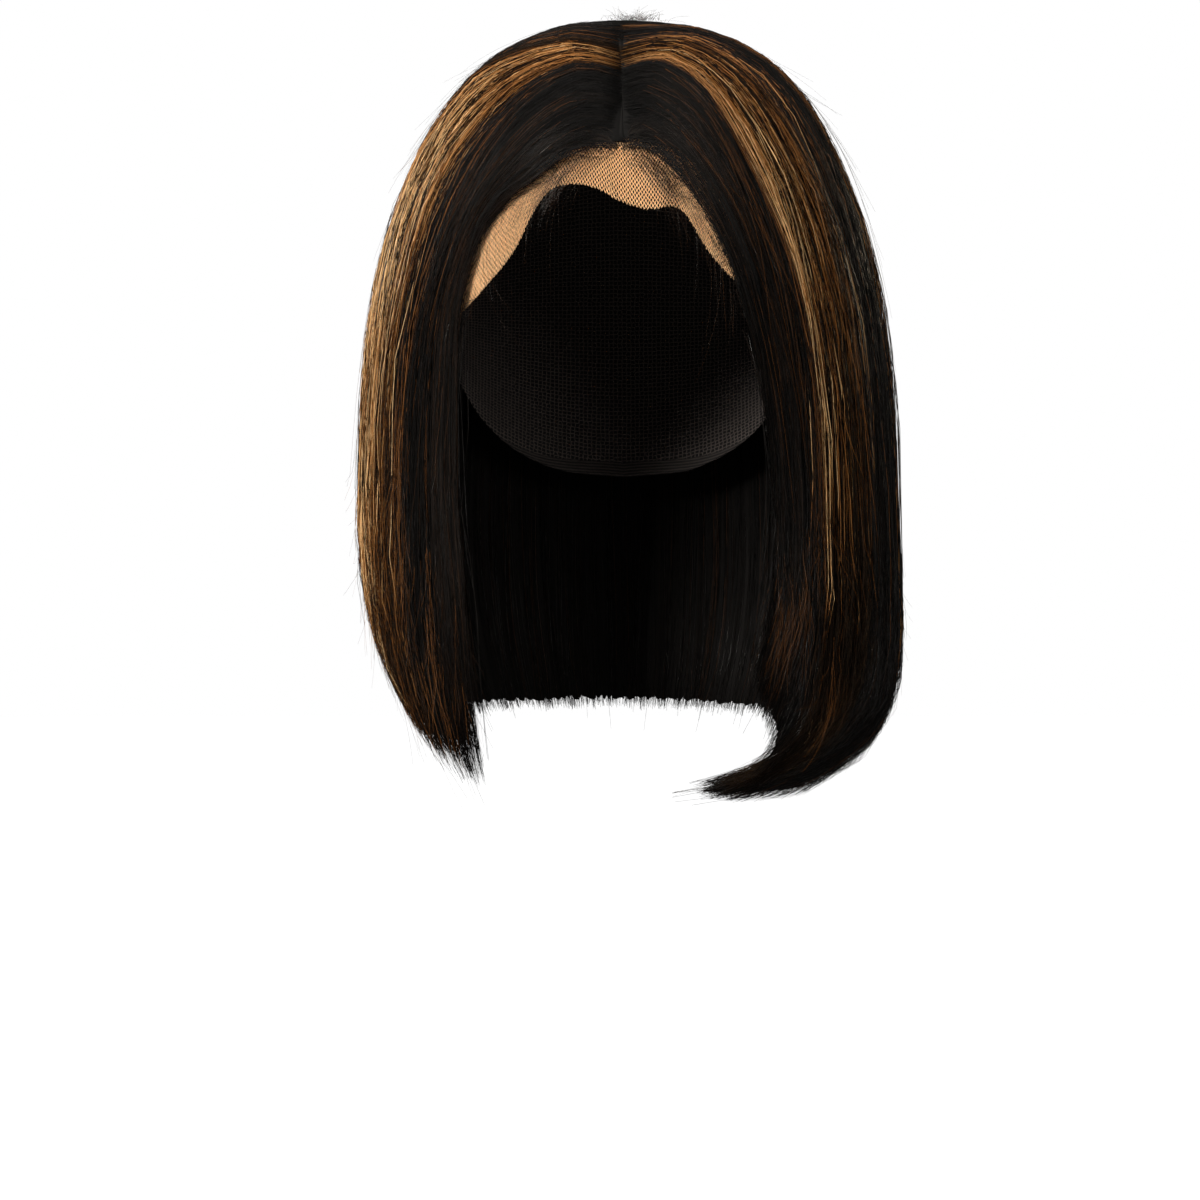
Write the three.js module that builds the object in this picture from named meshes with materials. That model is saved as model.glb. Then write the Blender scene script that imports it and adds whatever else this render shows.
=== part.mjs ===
// A shoulder-length bob wig on a lace front, in millimetres.
// +Z is up, the face opening looks towards -Y and +X is the wearer's left.
// The origin is the inside top of the cap, where the crown bears.
import * as THREE from "three";

// Form that the cap is cut to: an egg, squarer than an ellipse.
const HEAD = {
  halfWidth: 78,
  halfFront: 96,
  halfBack: 98,
  widestLevel: -105,
  heightAbove: 105,
  heightBelow: 95,
  squareness: 2.2,
};

// Walls and gaps
const CAP_WALL = 1.2;
const LACE_WALL = 1.0;
const SEAM_GAP = 0.8;
const HAIR_CLEARANCE = 0.8;
const LOCK_GAP = 0.5;

// Parting: a shallow groove a little to the wearer's right of the middle.
const PART = { x: -2, gap: 1.2, dip: 0.33, dipReach: 0.16 };

// Half width of the back that hangs from the end of the parting
const BACK_HALF = 40;

// Share of a section's depth that is left at its cut end
const TIP_DEPTH = 0.4;

// Mesh fineness
const CAP_COLUMNS = 52;
const CAP_ROWS = 9;
const LACE_COLUMNS = 64;
const LACE_ROWS = 4;
const UPPER_STEPS = 14;
const LOWER_STEPS = 9;
const LOCK_COLUMN_WIDTH = 0.24;

// Colours
const DARK_HAIR = "#1d1714";
const CARAMEL_HAIR = "#a8692f";
const LACE_TAN = "#cda780";
const CAP_BLACK = "#151312";

// Lower edge of the cap, the same on both sides: angle from the front and level.
const CAP_EDGE = [
  { angle: 0, z: -36 },
  { angle: 15, z: -41 },
  { angle: 30, z: -60 },
  { angle: 45, z: -82 },
  { angle: 60, z: -94 },
  { angle: 75, z: -99 },
  { angle: 88, z: -99 },
  { angle: 98, z: -98 },
  { angle: 112, z: -113 },
  { angle: 130, z: -147 },
  { angle: 150, z: -163 },
  { angle: 180, z: -168 },
];

// Trimmed front edge of the lace, wearer's right to left: angle from the front and level.
const LACE_EDGE = [
  { angle: -82, z: -108 },
  { angle: -72, z: -119 },
  { angle: -55, z: -112 },
  { angle: -40, z: -99 },
  { angle: -31, z: -86 },
  { angle: -27, z: -75 },
  { angle: -23, z: -67 },
  { angle: -17, z: -64 },
  { angle: -9, z: -65.5 },
  { angle: -2, z: -70.3 },
  { angle: 5, z: -73.5 },
  { angle: 9, z: -73.2 },
  { angle: 12.5, z: -72.4 },
  { angle: 16, z: -74.5 },
  { angle: 23, z: -89 },
  { angle: 36, z: -104 },
  { angle: 55, z: -113 },
  { angle: 72, z: -119 },
  { angle: 82, z: -108 },
];

// Sections of the hair from the wearer's right hairline, round the back, to the left hairline.
// Roots: where a section leaves the part, how high it lies on the cap, how squarely it rounds
// the head, how late it leaves the forehead and how far it swells forwards on the way.
const ROOTS = [
  { partY: -88, lift: 3.6, square: 2.3, lag: 3, bow: 1.5 },
  { partY: -78, lift: 7.5, square: 2.2, lag: 2, bow: 0 },
  { partY: -55, lift: 7.5, square: 2.35, lag: 1.3, bow: 0 },
  { partY: -30, lift: 7.5, square: 2.4, lag: 1, bow: 0 },
  { partY: -6, lift: 7.5, square: 2.35, lag: 1, bow: 0 },
  { partY: 12, lift: 7.5, square: 2.2, lag: 1, bow: 0 },
  { partY: 22, lift: 7.5, square: 2.2, lag: 1, bow: 0 },
  { partY: 26, lift: 7.5, square: 2.2, lag: 1, bow: 0 },
  { partY: 22, lift: 7.5, square: 2.2, lag: 1, bow: 0 },
  { partY: 12, lift: 7.5, square: 2.4, lag: 1, bow: 0 },
  { partY: -6, lift: 7.5, square: 2.6, lag: 1, bow: 0 },
  { partY: -28, lift: 7.5, square: 2.68, lag: 1, bow: 0 },
  { partY: -50, lift: 7.5, square: 2.5, lag: 1.4, bow: 4 },
  { partY: -69, lift: 7.5, square: 2.2, lag: 2, bow: 9 },
  { partY: -88, lift: 3.6, square: 1.85, lag: 5, bow: 4.5 },
];

// Falls: the widest point of a section, its cut end, how late it turns in and how deep it is.
const FALLS = [
  { bellyX: -60, bellyY: -68, bellyZ: -170, tipX: -51, tipY: -61, tipZ: -291, tuck: 3, depth: 4 },
  { bellyX: -80, bellyY: -56, bellyZ: -170, tipX: -58, tipY: -57, tipZ: -288, tuck: 3, depth: 12 },
  { bellyX: -95, bellyY: -34, bellyZ: -168, tipX: -66, tipY: -38, tipZ: -282, tuck: 3, depth: 13 },
  { bellyX: -103, bellyY: 0, bellyZ: -166, tipX: -72, tipY: -5, tipZ: -275, tuck: 3, depth: 13 },
  { bellyX: -98, bellyY: 45, bellyZ: -162, tipX: -73, tipY: 36, tipZ: -268, tuck: 3, depth: 12 },
  { bellyX: -75, bellyY: 85, bellyZ: -156, tipX: -58, tipY: 70, tipZ: -264, tuck: 3, depth: 12 },
  { bellyX: -40, bellyY: 105, bellyZ: -150, tipX: -31, tipY: 90, tipZ: -262, tuck: 3, depth: 12 },
  { bellyX: 0, bellyY: 112, bellyZ: -148, tipX: 0, tipY: 97, tipZ: -261, tuck: 3, depth: 12 },
  { bellyX: 40, bellyY: 105, bellyZ: -152, tipX: 31, tipY: 90, tipZ: -262, tuck: 3, depth: 12 },
  { bellyX: 77, bellyY: 85, bellyZ: -165, tipX: 61, tipY: 70, tipZ: -265, tuck: 3, depth: 12 },
  { bellyX: 102, bellyY: 45, bellyZ: -182, tipX: 76, tipY: 30, tipZ: -276, tuck: 3.8, depth: 12 },
  { bellyX: 107, bellyY: 0, bellyZ: -195, tipX: 68, tipY: -18, tipZ: -291, tuck: 5.4, depth: 13 },
  { bellyX: 96, bellyY: -37, bellyZ: -195, tipX: 45, tipY: -54, tipZ: -290, tuck: 5, depth: 13 },
  { bellyX: 75, bellyY: -60, bellyZ: -190, tipX: 58, tipY: -64, tipZ: -274, tuck: 4, depth: 12 },
  { bellyX: 55, bellyY: -68, bellyZ: -185, tipX: 53, tipY: -64, tipZ: -254, tuck: 3, depth: 4 },
];

// Locks, by the sections they run between
const LOCKS = [
  { name: "front_lock_right", from: 0, to: 1.5, color: DARK_HAIR },
  { name: "highlight_lock_right", from: 1.5, to: 3.1, color: CARAMEL_HAIR },
  { name: "side_lock_right", from: 3.1, to: 5, color: DARK_HAIR },
  { name: "back_lock_right", from: 5, to: 7, color: DARK_HAIR },
  { name: "back_lock_left", from: 7, to: 9, color: DARK_HAIR },
  { name: "side_lock_left", from: 9, to: 12.2, color: DARK_HAIR },
  { name: "highlight_lock_left", from: 12.2, to: 13, color: CARAMEL_HAIR },
  { name: "front_lock_left", from: 13, to: 14, color: DARK_HAIR },
];

const HAIR_FINISH = { roughness: 0.42, metalness: 0 };
const CLOTH_FINISH = { roughness: 0.85, metalness: 0 };

const radians = THREE.MathUtils.degToRad;

// A smooth curve through the named columns of a table
function smoothTable(table, places, columns) {
  const values = table.flatMap((row) => columns.map((column) => row[column]));
  const curve = new THREE.CubicInterpolant(places, values, columns.length);
  return (place) => {
    const found = curve.evaluate(place);
    return Object.fromEntries(columns.map((column, c) => [column, found[c]]));
  };
}

const capEdge = smoothTable(CAP_EDGE, CAP_EDGE.map((row) => row.angle), ["z"]);
const laceEdge = smoothTable(LACE_EDGE, LACE_EDGE.map((row) => row.angle), ["z"]);
const sections = ROOTS.map((row, index) => index);
const rootRow = smoothTable(ROOTS, sections, Object.keys(ROOTS[0]));
const fallRow = smoothTable(FALLS, sections, Object.keys(FALLS[0]));

// How far the head has drawn in at a level, 1 at its widest
function headShare(z, offset) {
  const above = z > HEAD.widestLevel;
  const height = (above ? HEAD.heightAbove : HEAD.heightBelow) + offset;
  const rise = Math.min(Math.abs(z - HEAD.widestLevel) / height, 1);
  return (1 - rise ** HEAD.squareness) ** (1 / HEAD.squareness);
}

// The top of the head form, enlarged by an offset, over a place on its middle line
function headTop(y, offset) {
  const reach = (y < 0 ? HEAD.halfFront : HEAD.halfBack) + offset;
  const share = Math.abs(y) / reach;
  const rise = (1 - share ** HEAD.squareness) ** (1 / HEAD.squareness);
  return HEAD.widestLevel + (HEAD.heightAbove + offset) * rise;
}

// A point of the enlarged head form at an angle from the front and a level
function headPoint(angle, z, offset) {
  const share = headShare(z, offset);
  const across = Math.sin(radians(angle));
  const along = Math.cos(radians(angle));
  const reach = along > 0 ? HEAD.halfFront : HEAD.halfBack;
  return new THREE.Vector3(
    (HEAD.halfWidth + offset) * share * across,
    -(reach + offset) * share * along,
    z,
  );
}

// Below 1 inside the enlarged head form, above 1 outside it
function headField(point, offset) {
  const reach = (point.y < 0 ? HEAD.halfFront : HEAD.halfBack) + offset;
  const height = (point.z > HEAD.widestLevel ? HEAD.heightAbove : HEAD.heightBelow) + offset;
  const plan = Math.hypot(point.x / (HEAD.halfWidth + offset), point.y / reach);
  const rise = Math.abs(point.z - HEAD.widestLevel) / height;
  return plan ** HEAD.squareness + rise ** HEAD.squareness;
}

// A closed body from triangles, its faces turned outwards
function closedBody(points, faces) {
  let volume = 0;
  for (let f = 0; f < faces.length; f += 3) {
    const [a, b, c] = [points[faces[f]], points[faces[f + 1]], points[faces[f + 2]]];
    volume += a.dot(b.clone().cross(c));
  }
  const turned = volume < 0 ? faces.slice().reverse() : faces;
  const geometry = new THREE.BufferGeometry();
  geometry.setAttribute(
    "position",
    new THREE.Float32BufferAttribute(points.flatMap((p) => p.toArray()), 3),
  );
  geometry.setIndex(turned);
  geometry.computeVertexNormals();
  return geometry;
}

// A wall between an outer and an inner net of points, closed along its four edges
function wallBody(outer, inner) {
  const columns = outer.length;
  const rows = outer[0].length;
  const points = [...outer.flat(), ...inner.flat()];
  const out = (i, j) => i * rows + j;
  const back = (i, j) => columns * rows + out(i, j);
  const faces = [];
  const quad = (a, b, c, d) => faces.push(a, b, c, a, c, d);
  for (let i = 0; i + 1 < columns; i += 1) {
    for (let j = 0; j + 1 < rows; j += 1) {
      quad(out(i, j), out(i + 1, j), out(i + 1, j + 1), out(i, j + 1));
      quad(back(i, j), back(i, j + 1), back(i + 1, j + 1), back(i + 1, j));
    }
    quad(out(i, 0), back(i, 0), back(i + 1, 0), out(i + 1, 0));
    quad(out(i, rows - 1), out(i + 1, rows - 1), back(i + 1, rows - 1), back(i, rows - 1));
  }
  for (let j = 0; j + 1 < rows; j += 1) {
    quad(out(0, j), out(0, j + 1), back(0, j + 1), back(0, j));
    quad(out(columns - 1, j), back(columns - 1, j), back(columns - 1, j + 1), out(columns - 1, j + 1));
  }
  return closedBody(points, faces);
}

// A dome between an outer and an inner net that run round to meet and close at the top
function domeBody(outer, inner, outerTop, innerTop) {
  const columns = outer.length;
  const rows = outer[0].length;
  const points = [...outer.flat(), ...inner.flat(), outerTop, innerTop];
  const out = (i, j) => (i % columns) * rows + j;
  const back = (i, j) => columns * rows + out(i, j);
  const crown = 2 * columns * rows;
  const faces = [];
  const quad = (a, b, c, d) => faces.push(a, b, c, a, c, d);
  for (let i = 0; i < columns; i += 1) {
    for (let j = 0; j + 1 < rows; j += 1) {
      quad(out(i, j), out(i + 1, j), out(i + 1, j + 1), out(i, j + 1));
      quad(back(i, j), back(i, j + 1), back(i + 1, j + 1), back(i + 1, j));
    }
    quad(out(i, 0), back(i, 0), back(i + 1, 0), out(i + 1, 0));
    faces.push(out(i, rows - 1), out(i + 1, rows - 1), crown);
    faces.push(back(i, rows - 1), crown + 1, back(i + 1, rows - 1));
  }
  return closedBody(points, faces);
}

// Cap: rows of points climb from the hem to the crown, closer together near the top.
function capBody() {
  const net = (offset) => {
    const top = HEAD.widestLevel + HEAD.heightAbove + offset;
    return Array.from({ length: CAP_COLUMNS }, (unused, i) => {
      const angle = (360 * i) / CAP_COLUMNS - 180;
      const hem = capEdge(Math.abs(angle)).z;
      return Array.from({ length: CAP_ROWS }, (none, j) => {
        const climb = Math.sin((Math.PI / 2) * (j / CAP_ROWS));
        return headPoint(angle, hem + (top - hem) * climb, offset);
      });
    });
  };
  const crown = HEAD.widestLevel + HEAD.heightAbove;
  return domeBody(
    net(CAP_WALL),
    net(0),
    new THREE.Vector3(0, 0, crown + CAP_WALL),
    new THREE.Vector3(0, 0, crown),
  );
}

// Lace: a band on the head form from its trimmed edge to its seam with the cap
function laceBody() {
  const first = LACE_EDGE[0].angle;
  const last = LACE_EDGE[LACE_EDGE.length - 1].angle;
  const net = (offset) =>
    Array.from({ length: LACE_COLUMNS + 1 }, (unused, i) => {
      const angle = first + ((last - first) * i) / LACE_COLUMNS;
      const trimmed = laceEdge(angle).z;
      const seam = capEdge(Math.abs(angle)).z - SEAM_GAP;
      return Array.from({ length: LACE_ROWS + 1 }, (none, j) =>
        headPoint(angle, trimmed + ((seam - trimmed) * j) / LACE_ROWS, offset),
      );
    });
  return wallBody(net(LACE_WALL), net(0));
}

// Where the hair's outer face is, for a section and a share of the way to its end.
// The first half of the way runs from the part to the belly, the rest to the tip.
function hairFace(section, way) {
  const root = rootRow(section);
  const fall = fallRow(section);
  const side = THREE.MathUtils.clamp(fall.bellyX / BACK_HALF, -1, 1);
  const rootX = PART.x + (side * PART.gap) / 2;
  const rootZ = headTop(root.partY, root.lift);
  if (way <= 0.5) {
    const turn = way * Math.PI;
    const out = Math.sin(turn) ** (2 / root.square);
    const down = 1 - Math.max(Math.cos(turn), 0) ** (2 / root.square);
    const dip = PART.dip * root.lift * Math.max(1 - out / PART.dipReach, 0) ** 2;
    const swell = root.bow * Math.sin(Math.PI * out);
    return new THREE.Vector3(
      rootX + (fall.bellyX - rootX) * out,
      root.partY + (fall.bellyY - root.partY) * out ** root.lag - swell,
      rootZ + (fall.bellyZ - rootZ) * down - dip,
    );
  }
  const drop = way * 2 - 1;
  const turnIn = drop ** fall.tuck;
  return new THREE.Vector3(
    fall.bellyX + (fall.tipX - fall.bellyX) * turnIn,
    fall.bellyY + (fall.tipY - fall.bellyY) * turnIn,
    fall.bellyZ + (fall.tipZ - fall.bellyZ) * drop,
  );
}

const NUDGE = 0.01;

// Direction in which the sections follow one another, at a point of the hair
function hairAcross(section, way) {
  const before = hairFace(Math.max(section - NUDGE, 0), way);
  const after = hairFace(Math.min(section + NUDGE, ROOTS.length - 1), way);
  return after.sub(before).normalize();
}

// Direction straight out of the hair's face
function hairOut(section, way) {
  const across = hairAcross(section, way);
  const above = hairFace(section, Math.max(way - NUDGE, 0));
  const below = hairFace(section, Math.min(way + NUDGE, 1));
  return across.cross(below.sub(above)).normalize();
}

// Depth of the hair, full from the part to the belly and thinning to the ends
function hairDepth(section, way) {
  const drop = Math.max(way * 2 - 1, 0);
  return fallRow(section).depth * THREE.MathUtils.lerp(1, TIP_DEPTH, drop);
}

// The inner face under an outer point, held off the cap
function innerFace(outer, inwards, depth) {
  const offset = CAP_WALL + HAIR_CLEARANCE;
  const reach = (share) => outer.clone().addScaledVector(inwards, depth * share);
  if (headField(reach(1), offset) >= 1 && headField(reach(0.5), offset) >= 1) return reach(1);
  let clear = 0;
  let struck = headField(reach(0.5), offset) < 1 ? 0.5 : 1;
  while (struck - clear > NUDGE) {
    const middle = (clear + struck) / 2;
    if (headField(reach(middle), offset) >= 1) clear = middle;
    else struck = middle;
  }
  return reach(clear);
}

// A lock: the hair between two sections, drawn in a little where it meets its neighbours
function lockBody(lock) {
  const columns = Math.ceil((lock.to - lock.from) / LOCK_COLUMN_WIDTH);
  const ways = [];
  for (let s = 0; s < UPPER_STEPS; s += 1) ways.push((0.5 * s) / UPPER_STEPS);
  for (let s = 0; s <= LOWER_STEPS; s += 1) ways.push(0.5 + (0.5 * s) / LOWER_STEPS);
  const outer = [];
  const inner = [];
  for (let i = 0; i <= columns; i += 1) {
    const section = THREE.MathUtils.lerp(lock.from, lock.to, i / columns);
    const draw = i === 0 ? LOCK_GAP / 2 : i === columns ? -LOCK_GAP / 2 : 0;
    const face = ways.map((way) =>
      hairFace(section, way).addScaledVector(hairAcross(section, way), draw),
    );
    outer.push(face);
    inner.push(
      face.map((point, j) =>
        innerFace(point, hairOut(section, ways[j]).negate(), hairDepth(section, ways[j])),
      ),
    );
  }
  return wallBody(outer, inner);
}

function subPart(name, geometry, color, finish) {
  const material = new THREE.MeshStandardMaterial({ color, ...finish });
  const mesh = new THREE.Mesh(geometry, material);
  mesh.name = name;
  return mesh;
}

const wig = new THREE.Group();
wig.name = "lace_front_wig";
wig.add(subPart("cap", capBody(), CAP_BLACK, CLOTH_FINISH));
wig.add(subPart("lace_front", laceBody(), LACE_TAN, CLOTH_FINISH));
for (const lock of LOCKS) wig.add(subPart(lock.name, lockBody(lock), lock.color, HAIR_FINISH));

export default wig;
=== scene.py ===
# A shoulder-length bob wig on a lace front, finished strand by strand.
# Metres, +Z up; the face opening looks towards -Y and +X is the wearer's left.
import math

import bpy
import numpy as np
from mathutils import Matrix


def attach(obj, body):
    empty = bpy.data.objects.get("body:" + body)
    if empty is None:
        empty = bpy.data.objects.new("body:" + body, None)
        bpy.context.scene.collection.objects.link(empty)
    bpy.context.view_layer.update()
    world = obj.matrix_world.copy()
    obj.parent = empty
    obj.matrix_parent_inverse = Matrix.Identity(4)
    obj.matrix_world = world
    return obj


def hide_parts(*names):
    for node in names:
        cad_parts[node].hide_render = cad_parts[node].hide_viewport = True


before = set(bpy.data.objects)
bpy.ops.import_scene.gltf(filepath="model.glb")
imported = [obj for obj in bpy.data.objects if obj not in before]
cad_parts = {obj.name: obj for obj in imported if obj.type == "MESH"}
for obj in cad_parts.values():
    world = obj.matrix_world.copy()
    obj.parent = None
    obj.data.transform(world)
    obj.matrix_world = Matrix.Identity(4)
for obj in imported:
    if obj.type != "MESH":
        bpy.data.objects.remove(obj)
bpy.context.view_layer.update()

# Sizes below are in millimetres until a mesh is made.
MM = 0.001

# The form that the cap is cut to: an egg, squarer than an ellipse
HALF_WIDTH = 78
HALF_FRONT = 96
HALF_BACK = 98
WIDEST_LEVEL = -105
HEIGHT_ABOVE = 105
HEIGHT_BELOW = 95
SQUARENESS = 2.2

CAP_WALL = 1.2
LACE_WALL = 1.0

# Parting, and the half width of the back that hangs from its end
PART_X = -2
PART_GAP = 1.2
PART_DIP = 0.33
PART_DIP_REACH = 0.16
BACK_HALF = 40
TIP_DEPTH = 0.4

# Lower edge of the cap on either side: angle from the front, level
CAP_EDGE = np.array([
    (0, -36), (15, -41), (30, -60), (45, -82), (60, -94), (75, -99),
    (88, -99), (98, -98), (112, -113), (130, -147), (150, -163), (180, -168),
], float)

# Trimmed front edge of the lace, wearer's right to left: angle from the front, level
LACE_EDGE = np.array([
    (-82, -108), (-72, -119), (-55, -112), (-40, -99), (-31, -86), (-27, -75), (-23, -67),
    (-17, -64), (-9, -65.5), (-2, -70.3), (5, -73.5), (9, -73.2), (12.5, -72.4), (16, -74.5),
    (23, -89), (36, -104), (55, -113), (72, -119), (82, -108),
], float)

# Sections of the hair from the wearer's right hairline, round the back, to the left hairline.
# Roots: place on the part, height over the cap, squareness, lag and forward bow.
ROOTS = np.array([
    (-88, 3.6, 2.3, 3, 1.5),
    (-78, 7.5, 2.2, 2, 0),
    (-55, 7.5, 2.35, 1.3, 0),
    (-30, 7.5, 2.4, 1, 0),
    (-6, 7.5, 2.35, 1, 0),
    (12, 7.5, 2.2, 1, 0),
    (22, 7.5, 2.2, 1, 0),
    (26, 7.5, 2.2, 1, 0),
    (22, 7.5, 2.2, 1, 0),
    (12, 7.5, 2.4, 1, 0),
    (-6, 7.5, 2.6, 1, 0),
    (-28, 7.5, 2.68, 1, 0),
    (-50, 7.5, 2.5, 1.4, 4),
    (-69, 7.5, 2.2, 2, 9),
    (-88, 3.6, 1.85, 5, 4.5),
], float)

# Falls: the widest point, the cut end, how late the section turns in and its depth.
FALLS = np.array([
    (-60, -68, -170, -51, -61, -291, 3, 4),
    (-80, -56, -170, -58, -57, -288, 3, 12),
    (-95, -34, -168, -66, -38, -282, 3, 13),
    (-103, 0, -166, -72, -5, -275, 3, 13),
    (-98, 45, -162, -73, 36, -268, 3, 12),
    (-75, 85, -156, -58, 70, -264, 3, 12),
    (-40, 105, -150, -31, 90, -262, 3, 12),
    (0, 112, -148, 0, 97, -261, 3, 12),
    (40, 105, -152, 31, 90, -262, 3, 12),
    (77, 85, -165, 61, 70, -265, 3, 12),
    (102, 45, -182, 76, 30, -276, 3.8, 12),
    (107, 0, -195, 68, -18, -291, 5.4, 13),
    (96, -37, -195, 45, -54, -290, 5, 13),
    (75, -60, -190, 58, -64, -274, 4, 12),
    (55, -68, -185, 53, -64, -254, 3, 4),
], float)
SECTIONS = np.arange(len(ROOTS), dtype=float)

# How open the parting is, by section: it closes behind the crown
PARTED = np.array([(0, 1), (2.2, 1), (3.6, 0), (10.4, 0), (11.8, 1), (14, 1)], float)

# Locks: node, name of the piece, slot, first and last lane, fullness
LOCKS = [
    ("front_lock_right", "front_hair_right", "hair_dark", 0, 1.5, 1.2),
    ("highlight_lock_right", "highlight_hair_right", "hair_highlight", 1.5, 3.1, 1.2),
    ("side_lock_right", "side_hair_right", "hair_dark", 3.1, 5, 0.85),
    ("back_lock_right", "back_hair_right", "hair_dark", 5, 7, 0.75),
    ("back_lock_left", "back_hair_left", "hair_dark", 7, 9, 0.75),
    ("side_lock_left", "side_hair_left", "hair_dark", 9, 12.2, 0.9),
    ("highlight_lock_left", "highlight_hair_left", "hair_highlight", 12.2, 13, 1.3),
    ("front_lock_left", "front_hair_left", "hair_dark", 13, 14, 1.2),
]

# Places along the strand map: those of glossy strands, whose roots are dull and take a painted shade near
# the part, and those of the dull strands and cores inside the hair, which take part of that painted shade
GLOSSY = (0.02, 0.98)
DULL = (0.045, 0.06)
SHADED_ROOT_PLACES = (0.02, 0.06)
DULL_ROOTS = (0.16, 0.36)

# Layers of strands in a lock: strands to a millimetre, where on the way they root,
# how deep they lie, the share of them that ends early, their points, the size of their clumps,
# how far the clumps drift and their places along the strand map
LAYERS = {
    "top": dict(
        per_mm=7.6, roots=(0.0, 0.012), depth=(0.5, 2.2), early=0.05,
        points=15, clump=0.055, drift=0.07, along=GLOSSY,
    ),
    "over": dict(
        per_mm=2.6, roots=(0.03, 0.4), depth=(0.1, 1.2), early=0.72,
        points=11, clump=0.018, drift=0.14, along=GLOSSY,
    ),
    "ends": dict(
        per_mm=7.0, roots=(0.45, 0.68), depth=(0.15, 0.95), early=0,
        points=8, clump=0.055, drift=0.07, along=GLOSSY,
    ),
    "lining": dict(
        per_mm=3.0, roots=(0.36, 0.46), depth=(0.84, 1.0), early=0,
        points=8, clump=0.055, drift=0.05, along=DULL,
    ),
}
# Layers whose depth is a share of the lock's own
SHARE_LAYERS = ("ends", "lining")

# Lanes fan out from the part: the lane of a strand, and the section that it roots in
FAN = np.array([
    (0, 0), (1.2, 1.42), (3.0, 2.12), (4.5, 4.2), (5.5, 5.5),
    (11, 11), (12.8, 12.4), (13.25, 12.95), (14, 14),
], float)
FAN_REACH = 0.24

# The ends on the wearer's left draw together into a hook: lanes, and how much of each is drawn in
HOOK = np.array([(10.2, 0), (10.9, 0.6), (11.6, 0.82), (12.8, 0.78), (13.3, 0)], float)
HOOK_LANE = 12.1
HOOK_FROM = 0.74
HOOK_CURL = 12
HOOK_CURL_AT = (0.95, 1.06)
HOOK_CURL_BEND = 1.5
# and those at the front edge there lean in
LEAN = np.array([(12.6, 0), (13.4, 6), (14, 6)], float)
LEAN_FROM = 0.66

# The cut, by lane: how far along the way it lies and how ragged it is
CUT = np.array([
    (0, 0.975, 0.07), (1, 0.99, 0.06), (2, 0.985, 0.05), (3, 0.97, 0.04), (4, 0.975, 0.03),
    (5, 0.995, 0.014), (7, 1.0, 0.012), (10.2, 1.002, 0.012), (11.0, 1.03, 0.012),
    (11.7, 1.035, 0.012), (12.4, 1.02, 0.014), (12.9, 1.01, 0.02), (13.3, 1.0, 0.04), (14, 0.98, 0.07),
], float)

# Nothing runs far past its section's cut end
LONGEST_WAY = 1.045

# The hair lies closer at either side of the head: lanes, depth, and where that starts and ends
CLOSER = np.array([
    (1.5, 0), (2.4, 1.5), (3.4, 1.5), (4.4, 0), (9.4, 0), (10.4, 2.8), (11.9, 2.8), (12.8, 0),
], float)
CLOSER_FROM = (0.15, 0.27)
CLOSER_TO = (0.4, 0.58)

# The hair thins towards its front edges, and draws back from the temple on the wearer's right
EDGE_REACH = 0.3
EDGE_LEAST = 0.2
EDGE_WANDER = 0.14
TEMPLE_DRAW = 0.4
TEMPLE_REACH = 0.9
TEMPLE_FROM = (0.15, 0.27)
TEMPLE_EASED = 0.6
TEMPLE_EASES = (0.34, 0.46)
TEMPLE_TO = (0.5, 0.7)

# How many strands are caramel, how light those are and how far along they start to fade, by lane
CARAMEL = np.array([
    (0, 0.002, 0.4, 0.4), (1.2, 0.008, 0.5, 0.34), (1.38, 0.18, 0.72, 0.28), (1.52, 0.36, 0.86, 0.27),
    (1.8, 0.42, 0.98, 0.27), (2.0, 0.43, 1.02, 0.3), (2.2, 0.46, 1.06, 0.42), (2.4, 0.5, 1.06, 0.56),
    (2.7, 0.54, 1.06, 0.64), (2.82, 0.44, 0.92, 0.66), (3.0, 0.24, 0.7, 0.64), (3.4, 0.08, 0.55, 0.4),
    (4.2, 0.03, 0.4, 0.4),
    (9.8, 0.03, 0.4, 0.3),
    # Lanes 10.7 to 11.35 carry a painted highlight: golden strands where a rim of light falls along the
    # side of the head
    (10.7, 0.05, 0.5, 0.26), (10.95, 0.4, 0.76, 0.3), (11.15, 0.34, 0.72, 0.3), (11.35, 0.05, 0.5, 0.2),
    (11.8, 0.12, 0.66, 0.2), (12.0, 0.25, 0.8, 0.22), (12.3, 0.19, 0.76, 0.22), (12.45, 0.13, 0.74, 0.22),
    (12.56, 0.34, 0.96, 0.27), (12.75, 0.38, 1.02, 0.29),
    (12.9, 0.48, 1.1, 0.29), (13.0, 0.48, 1.06, 0.27),
    (13.09, 0.28, 0.75, 0.24), (13.22, 0.03, 0.5, 0.2), (13.4, 0.004, 0.4, 0.2), (14, 0.002, 0.4, 0.2),
], float)

# How many of the dark strands are brown, by lane
BROWN = np.array([
    (0, 0.01), (1.1, 0.03), (1.5, 0.3), (3.2, 0.3), (3.6, 0.12), (12.6, 0.12), (13.2, 0.02), (14, 0.01),
])

STRAND_RADIUS = (0.07, 0.13)
STRAND_MAP = "OFBake"
TONE_WIDTH = 0.012
TONE_ENDS = (0.01, 0.99)
FULL_TURN = 6.3


def smooth_rows(places, rows, at):
    """Values of a table at any place between its rows, on a smooth curve through them."""
    at = np.asarray(at, float)
    slopes = np.diff(rows, axis=0) / np.diff(places)[:, None]
    leans = np.concatenate([slopes[:1], (slopes[:-1] + slopes[1:]) / 2, slopes[-1:]])
    row = np.clip(np.searchsorted(places, at, side="right") - 1, 0, len(places) - 2)
    run = (places[row + 1] - places[row])[..., None]
    p = (at - places[row])[..., None] / run
    start = rows[row] * (1 + 2 * p) * (1 - p) ** 2 + leans[row] * run * p * (1 - p) ** 2
    end = rows[row + 1] * (3 - 2 * p) * p**2 - leans[row + 1] * run * (1 - p) * p**2
    return start + end


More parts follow.
